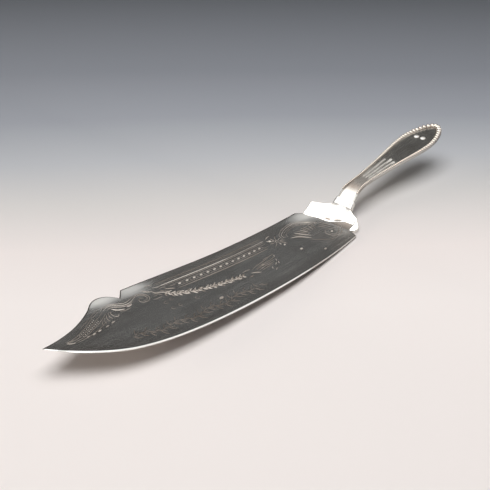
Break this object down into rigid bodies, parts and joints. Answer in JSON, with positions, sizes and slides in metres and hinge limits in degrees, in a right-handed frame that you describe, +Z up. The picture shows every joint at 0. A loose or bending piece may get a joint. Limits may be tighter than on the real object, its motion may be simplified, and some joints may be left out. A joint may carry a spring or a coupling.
{
  "type": "cake server",
  "caption": "Silver cake server: broad scimitar blade with a notched spine and ground belly edge, lobed shoulder, proud neck collar and a raised spatulate handle with a beaded border.",
  "frame": {"origin": "centre of the bounding box in plan, on the surface that the blade rests on", "axes": "+X from the tip of the blade to the end of the handle, +Y towards the spine, +Z up from the blade's underside"},
  "size_m": [0.2832, 0.0508, 0.0284],
  "materials": {
    "blade_silver": "polished silver with fine wear scratches and bright-cut engraving",
    "shoulder_silver": "brightly polished silver",
    "handle_silver": "polished silver, lightly tarnished in the recesses",
    "trim_silver": "brightly polished silver beads"
  },
  "bodies": {
    "root": {"blade": "blade_silver", "shoulder": "shoulder_silver", "neck_collar": "shoulder_silver", "handle_front": "handle_silver", "handle_back": "handle_silver", "bead_border": "trim_silver", "pearl_far": "trim_silver", "pearl_near": "trim_silver"}
  },
  "joints": []
}
